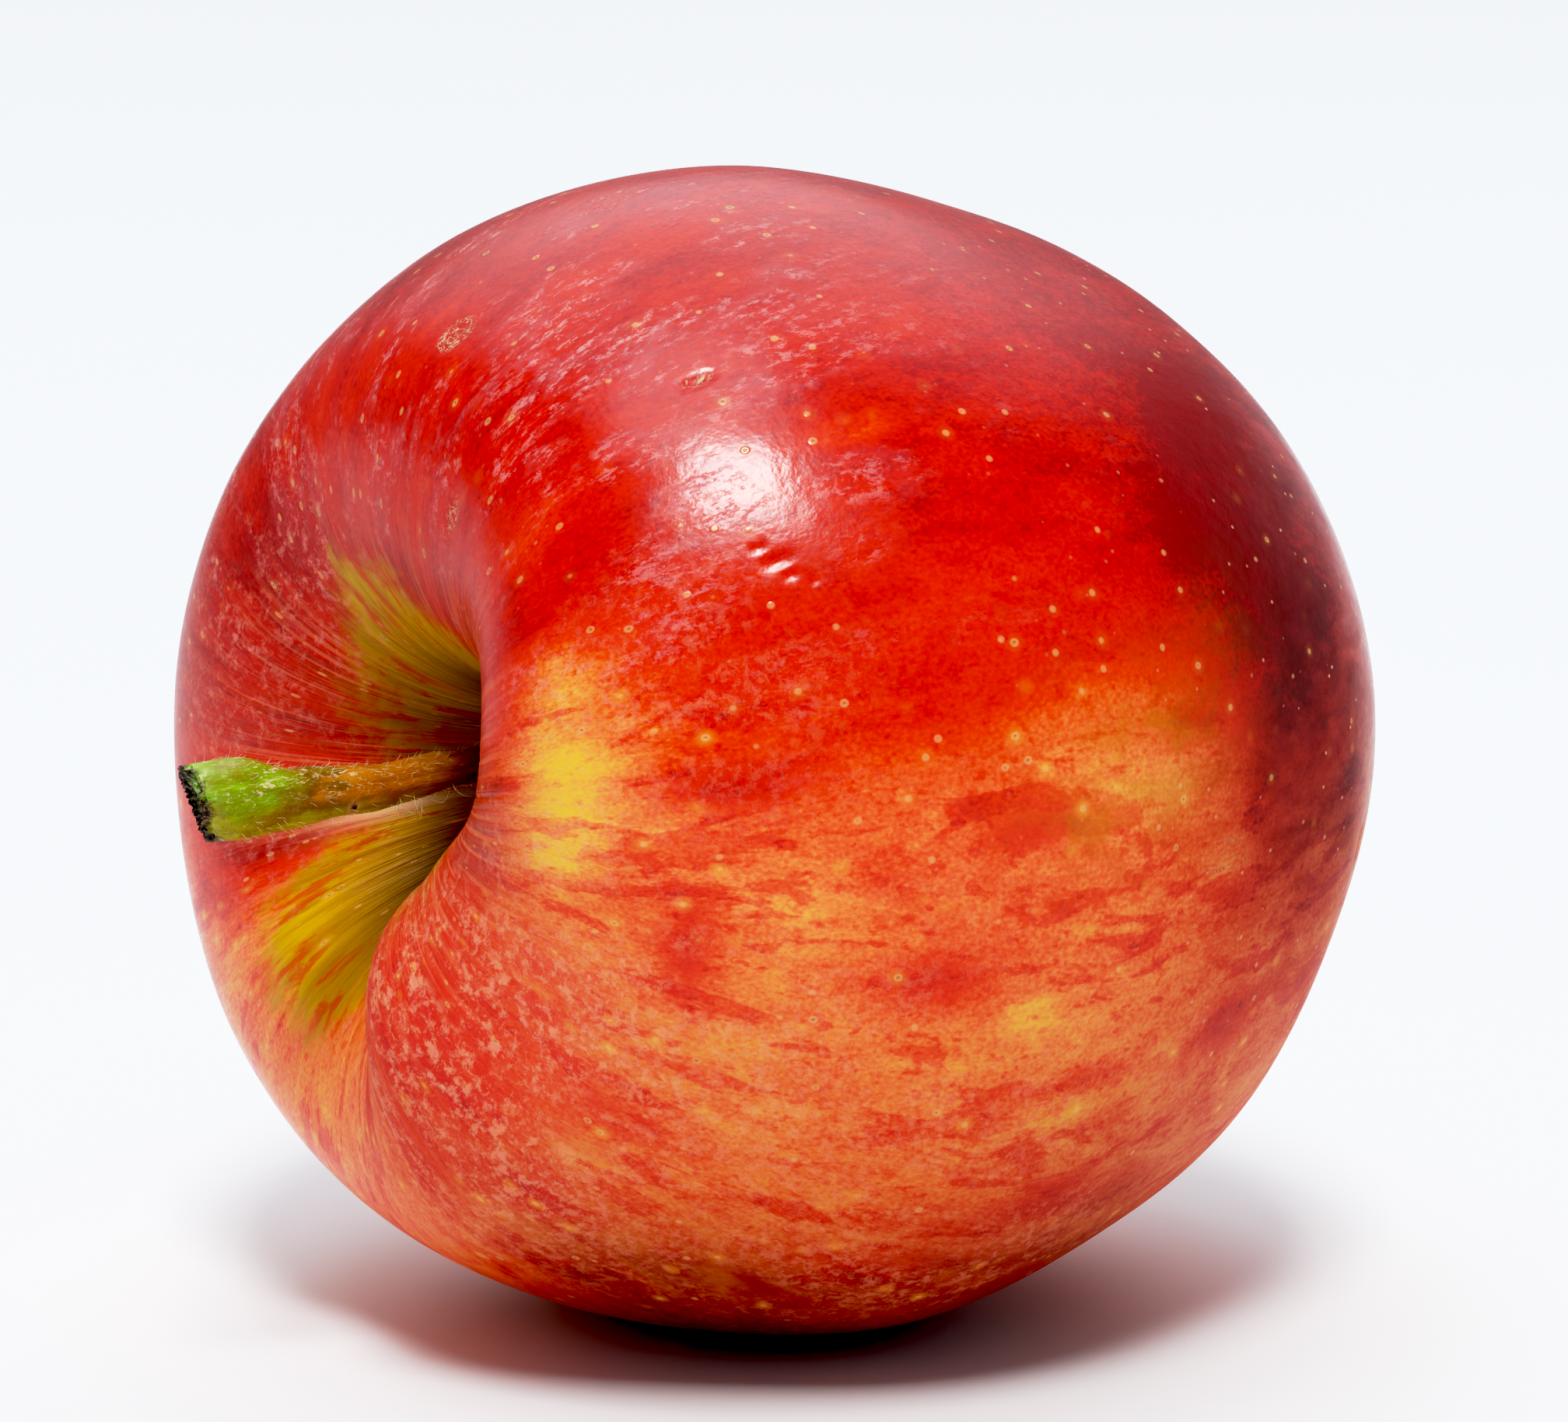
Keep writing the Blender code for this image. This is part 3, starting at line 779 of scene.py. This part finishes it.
lime = bark.mix(bark.fade(0.4, 0.6, patches), (0.24, 0.16, 0.010), (0.36, 0.34, 0.02))
tone = bark.mix(under * bark.fade(26.0, 33.0, height_wire) * 0.85, tone, lime)
tone = bark.mix(bark.fade(0.45, 0.70, fibres) * 0.35, tone, (0.20, 0.11, 0.02))
pale = (bark.fade(0.54, 0.64, wool) * bark.fade(-0.6, 0.8, top_wire)
        * bark.fade(22.0, 36.0, height_wire) * bark.fade(0.35, 0.60, patches, 0.25, 1.0))
tone = bark.mix(pale * 0.75, tone, (0.80, 0.66, 0.44))
bud_away = bark.node("ShaderNodeVectorMath", {"operation": "DISTANCE"},
                     {0: stalk_place, 1: BUD_SCAR}, output="Value")
bud_away = bud_away + (grit - 0.5) * 0.35
tone = bark.mix((1.0 - bark.fade(0.35, 0.85, bud_away)) * 0.6, tone, (0.45, 0.30, 0.16))
tone = bark.mix(1.0 - bark.fade(0.22, 0.45, bud_away), tone, (0.035, 0.012, 0.008))
cork_edge = gap_wire + (patches - 0.5) * 2.2 + (fibres - 0.5) * 1.6
cork = 1.0 - bark.fade(0.7, 1.5, cork_edge)
cork_tone = bark.mix(bark.fade(0.50, 0.62, grit), (0.022, 0.014, 0.010), (0.26, 0.15, 0.085))
tone = bark.mix(cork, tone, cork_tone)
bark_relief = fibres * 0.10 + grit * 0.05 + wool * 0.05 + cork * grit * 0.25
bark.surface(Base_Color=tone, Roughness=bark.fade(0.0, 1.0, cork + pale, 0.34, 0.75),
             Normal=bark.bump(bark_relief, MM), Coat_Weight=0.25, Coat_Roughness=0.25)
stalk.data.materials.append(bark.material)
print("stalk bark:", len(bark.tree.nodes), "nodes")

# %% [markdown]
# The stalk is downy. One hair is modelled from a thin cone that is cut and bent, then copied to
# random places on the bark with a fixed seed, lying towards the cavity. The hairs join the stalk.

# %% Hairs
SEED = 23
HAIR_ROOT = 0.04 * MM             # how deep a hair stands in its piece


def make_hair(length, thickness, bend, finish):
    """One tapered, bent hair that stands on the origin, in millimetres."""
    deselect_all()
    bpy.ops.mesh.primitive_cone_add(vertices=4, radius1=thickness * MM, radius2=thickness * 0.3 * MM,
                                    depth=length * MM, location=(0, 0, length * MM / 2))
    hair = bpy.context.object
    bpy.ops.object.mode_set(mode="EDIT")
    bpy.ops.mesh.select_all(action="SELECT")
    for height in (0.25, 0.5, 0.75):
        bpy.ops.mesh.bisect(plane_co=(0, 0, length * height * MM), plane_no=(0, 0, 1))
        bpy.ops.mesh.select_all(action="SELECT")
    bpy.ops.object.mode_set(mode="OBJECT")
    bpy.ops.object.transform_apply(location=True, rotation=True, scale=True)
    bpy.ops.object.modifier_add(type="SIMPLE_DEFORM")
    hair.modifiers[-1].deform_method = "BEND"
    hair.modifiers[-1].deform_axis = "X"
    hair.modifiers[-1].angle = math.radians(bend)
    bpy.ops.object.modifier_apply(modifier=hair.modifiers[-1].name)
    hair.data.materials.append(finish)
    return hair


def drop(thing):
    """Take a template out of the scene again."""
    bpy.data.objects.remove(thing, do_unlink=True)


def scatter(template, piece, chances, count, lie):
    """Stand copies of the template on random vertices of the piece, and remove the template."""
    places = np.empty(len(piece.data.vertices) * 3)
    piece.data.vertices.foreach_get("co", places)
    places, normals = places.reshape(-1, 3), vertex_normals(piece.data)
    copies = []
    for vertex in generator.choice(len(places), count, p=chances / chances.sum()):
        direction = Vector(normals[vertex]) * 0.5 + lie + Vector(generator.normal(0.0, 0.35, 3))
        turn = direction.to_track_quat("Z", "Y") @ Quaternion((0, 0, 1), generator.uniform(0.0, 6.28))
        size = Vector((1.0, 1.0, generator.uniform(0.5, 1.3)))
        copy = bpy.data.objects.new("hair", template.data.copy())
        bpy.context.scene.collection.objects.link(copy)
        root = Vector(places[vertex]) - Vector(normals[vertex]) * HAIR_ROOT
        copy.data.transform(Matrix.LocRotScale(root, turn, size))
        copies.append(copy)
    drop(template)
    return copies


def join(piece, others):
    """Make the others part of this piece's mesh."""
    make_active(piece)
    for other in others:
        other.select_set(True)
    bpy.ops.object.join()


generator = np.random.default_rng(SEED)
down = Finish(bpy.data.materials.new("pale_down"))
straw = down.mix(down.noise(down.millimetres()), (0.80, 0.70, 0.48), (0.66, 0.50, 0.28))
down.surface(Base_Color=straw, Roughness=0.55)
places = core_places(stalk.data)
chances = smooth_step(20, 30, places[:, 2]) * smooth_step(1.0, 3.0, short_of_tip(places))
short_hair = make_hair(length=0.60, thickness=0.014, bend=50, finish=down.material)
on_edges = chances * (0.25 + (np.abs(topside) > 0.8))
hairs = scatter(short_hair, stalk, on_edges, count=420, lie=-STALKWARDS * 1.1)
long_hair = make_hair(length=1.6, thickness=0.016, bend=80, finish=down.material)
underneath = chances * (topside < -0.6) * (places[:, 2] < 33)
hairs += scatter(long_hair, stalk, underneath, count=24, lie=-UP * 0.5)
join(stalk, hairs)
print("stalk with its down:", len(stalk.data.polygons), "faces")

# %% [markdown]
# The calyx is what is left of the blossom. Five small leaves close over the deep end of the basin,
# dry, brown and woolly, and the withered stamens stand between them. Each leaf is spread wider
# towards its tip, so that the five close like a small star, and is then crumpled by noise and given
# short grey hairs. The stamens are modelled once as a bent thread with an anther on its end, then
# copied round in two rings.

# %% Dried calyx finish
dry = Finish(bpy.data.materials.new("dried_leaf"))
spot_place = dry.millimetres()
veins = dry.noise(dry.stretch(spot_place, (0.8, 3.0, 3.0)), 3.0, 0.6)
fluff = dry.noise(dry.stretch(spot_place, (4.0, 4.0, 4.0)), 3.0, 0.7)
brown = dry.mix(dry.fade(0.35, 0.65, veins), (0.045, 0.022, 0.010), (0.20, 0.115, 0.050))
brown = dry.mix(dry.fade(0.52, 0.66, fluff) * 0.7, brown, (0.42, 0.36, 0.27))
dry.surface(Base_Color=brown, Roughness=0.85, Normal=dry.bump(veins * 0.08 + fluff * 0.08, MM),
            Sheen_Weight=0.25, Sheen_Roughness=0.5)

# %% Calyx leaves
FIRST_LEAF, LEAF_STEP = 20, 72                # longitude of the first leaf, and from leaf to leaf
LEAF_FOOT, LEAF_TIP = -29.8, -32.2            # between these the leaf spreads, in millimetres
LEAF_SPREAD = 1.1
for number in range(1, 6):
    leaf = merged_copy(f"sepal_{number}", f"calyx_leaf_{number}")
    subdivide(leaf, 3)
    places = core_places(leaf.data)
    turn = math.radians(FIRST_LEAF + LEAF_STEP * (number - 1))
    sideways = np.array((-math.sin(turn), math.cos(turn), 0.0))
    spread = smooth_step(LEAF_FOOT, LEAF_TIP, places[:, 2]) * (places @ sideways) * LEAF_SPREAD
    places = places + spread[:, None] * sideways
    set_core_places(leaf.data, places)
    crumple = rough(places, (0.9, 0.9, 0.9), number * 5.0) * 0.22
    push(leaf, crumple + rough(places, (2.6, 2.6, 2.6), number * 3.0) * 0.07 - 0.06)
    leaf.data.materials.append(dry.material)
    everywhere = np.ones(len(leaf.data.vertices))
    grey_hair = make_hair(length=0.9, thickness=0.013, bend=70, finish=down.material)
    join(leaf, scatter(grey_hair, leaf, everywhere, count=120, lie=Vector((0, 0, 0))))
    put_on_frame(leaf, "dried_calyx", f"sepal_{number}")

# %% Stamens
STAMEN_RINGS = ((9, 0.78, 16), (6, 0.40, 8))      # how many, how far out, lean in degrees
TUFT_BASE = -27.0                 # height of the tuft's woolly base, in millimetres
stamen_low, stamen_high = (Vector(corner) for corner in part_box("stamens"))
root = Vector((stamen_low.x, (stamen_low.y + stamen_high.y) / 2, (stamen_low.z + stamen_high.z) / 2))
tuft = merged_copy("stamens", "stamen_tuft")
subdivide(tuft, 1)
tuft.data.materials.append(dry.material)
places = core_places(tuft.data)
places[:, 2] = np.maximum(places[:, 2], TUFT_BASE + 0.3 * rough(places, (2.0, 2.0, 2.0)))
set_core_places(tuft.data, places)
thread = make_hair(length=4.2, thickness=0.11, bend=18, finish=dry.material)
bpy.ops.mesh.primitive_uv_sphere_add(segments=8, ring_count=6, radius=0.26 * MM)
anther = bpy.context.object
tip = max((vertex.co for vertex in thread.data.vertices), key=lambda co: co.z)
anther.data.transform(Matrix.LocRotScale(tip.copy(), Quaternion(), Vector((0.8, 0.55, 1.5))))
anther.data.materials.append(dry.material)
join(thread, [anther])
threads = []
upright = (-STALKWARDS).to_track_quat("Z", "Y")
for count, away, lean in STAMEN_RINGS:
    for number in range(count):
        turn = Quaternion(-STALKWARDS, 2 * math.pi * (number + away) / count)
        side = turn @ UP
        tilt = Quaternion(side.cross(-STALKWARDS), -math.radians(lean * generator.uniform(0.2, 1.0)))
        copy = bpy.data.objects.new("thread", thread.data.copy())
        bpy.context.scene.collection.objects.link(copy)
        foot = root - STALKWARDS * 0.5 * MM + side * away * MM * generator.uniform(0.8, 1.0)
        size = Vector((1.0, 1.0, generator.uniform(0.75, 1.0)))
        copy.data.transform(Matrix.LocRotScale(foot, tilt @ turn @ upright, size))
        threads.append(copy)
join(tuft, threads)
drop(thread)
bpy.ops.object.shade_smooth()
put_on_frame(tuft, "dried_calyx", "stamens")

# %% [markdown]
# The apple lies on a plain pale sheet of paper, large enough to fill the view from every side. Real
# paper is never perfectly even, so its tone drifts a little, its roughness varies and it has a very
# faint tooth. The sheet is stage scenery and not part of the model.

# %% Floor
FLOOR_SIZE, FLOOR_GAP = 6.0, 0.1 * MM
bpy.ops.mesh.primitive_plane_add(size=FLOOR_SIZE, location=(0.0, 0.0, -FLOOR_GAP))
floor = bpy.context.object
floor.name = "floor"
paper = Finish(bpy.data.materials.new("pale_paper"))
paper_place = paper.millimetres()
drift = paper.noise(paper.stretch(paper_place, (0.006, 0.006, 0.006)), 3.0)
tooth = paper.noise(paper.stretch(paper_place, (1.5, 1.5, 1.5)), 3.0, 0.6)
paper.surface(Base_Color=paper.mix(drift, (0.810, 0.828, 0.845), (0.832, 0.846, 0.858)),
              Roughness=paper.fade(0.3, 0.7, tooth, 0.74, 0.86), Normal=paper.bump(tooth, 0.01 * MM))
floor.data.materials.append(paper.material)
print("floor is", FLOOR_SIZE, "m wide")

# %% [markdown]
# The light is a plain studio. One tall softbox hangs high on the camera's side and gives the single
# highlight and the soft shadow. The surroundings do the rest, so nothing stands in view: a bright
# ceiling behind the apple lights its top edge, a diffuser overhead gives the broad sheen round the
# highlight, a backdrop on the right gives a thin pale rim, and the walls are dim and slightly blue.
# Directions are given as the camera sees them: to the right, up, and towards the camera.

# %% Ceiling and walls
GLOWS = (("backdrop", (0.66, 0.02, -0.75), 8, 34, 0.7), ("diffuser", (-0.12, 0.96, 0.26), 7, 21, 4.4),
         ("ceiling", (-0.02, 0.90, -0.44), 6, 42, 1.75))     # inner and outer angle, brightness
WALL_BRIGHTNESS = 0.32
WALL_COLOUR = (0.86, 0.93, 1.0, 1.0)
world = bpy.data.worlds.new("studio")
bpy.context.scene.world = world
studio = Finish(world, "Background")
looking = studio.node("ShaderNodeTexCoord", output="Generated")


def in_view(right, up, towards):
    """A direction given by how far it goes right, up and towards the camera."""
    return (camera_right * right + camera_up * up + towards_camera * towards).normalized()


def glow(direction, inner, outer):
    """A soft round patch in the surroundings, 1 inside one angle and 0 outside the other."""
    towards = studio.node("ShaderNodeVectorMath", {"operation": "DOT_PRODUCT"},
                          {0: looking, 1: direction}, output="Value")
    return studio.fade(math.cos(math.radians(outer)), math.cos(math.radians(inner)), towards)


brightness = WALL_BRIGHTNESS
for name, direction, inner, outer, amount in GLOWS:
    brightness = glow(in_view(*direction), inner, outer) * amount + brightness
    print(name, "is", round(amount / WALL_BRIGHTNESS), "times as bright as the walls")
studio.surface(Color=WALL_COLOUR, Strength=brightness)

# %% Softbox
SOFTBOX_DISTANCE, SOFTBOX_SIZE = 8.0, (1.65, 2.55)     # metres
SOFTBOX_POWER = 595               # watts
softbox_direction = in_view(0.0, 0.782, 0.623)
bpy.ops.object.light_add(type="AREA", location=CORE + softbox_direction * SOFTBOX_DISTANCE)
softbox = bpy.context.object
softbox.name = "softbox"
softbox.data.shape = "RECTANGLE"
softbox.data.size, softbox.data.size_y = SOFTBOX_SIZE
softbox.data.energy = SOFTBOX_POWER
softbox.rotation_mode = "QUATERNION"
softbox.rotation_quaternion = softbox_direction.to_track_quat("Z", "Y")
print("softbox at", [round(value, 2) for value in softbox.location])

# %% [markdown]
# A camera answers light with a curve: deep shade goes nearly black, the middle is steep, and the
# brightest part rolls off softly. The scene's view settings get the same kind of curve, so the skin
# keeps its rich red while the paper stays just under white.

# %% Tone curve
DARKEST, BRIGHTEST = 0.04, 1.6
TONES = ((0.03, 0.038), (0.12, 0.18), (0.375, 0.62), (0.625, 0.84), (0.78, 0.915))
view = bpy.context.scene.view_settings
view.view_transform = "Standard"
view.use_curve_mapping = True
response = view.curve_mapping
response.black_level = (DARKEST, DARKEST, DARKEST)
response.white_level = (BRIGHTEST, BRIGHTEST, BRIGHTEST)
for light, tone in TONES:
    response.curves[3].points.new(light, tone)
response.update()
print("tone curve has", len(response.curves[3].points), "points")
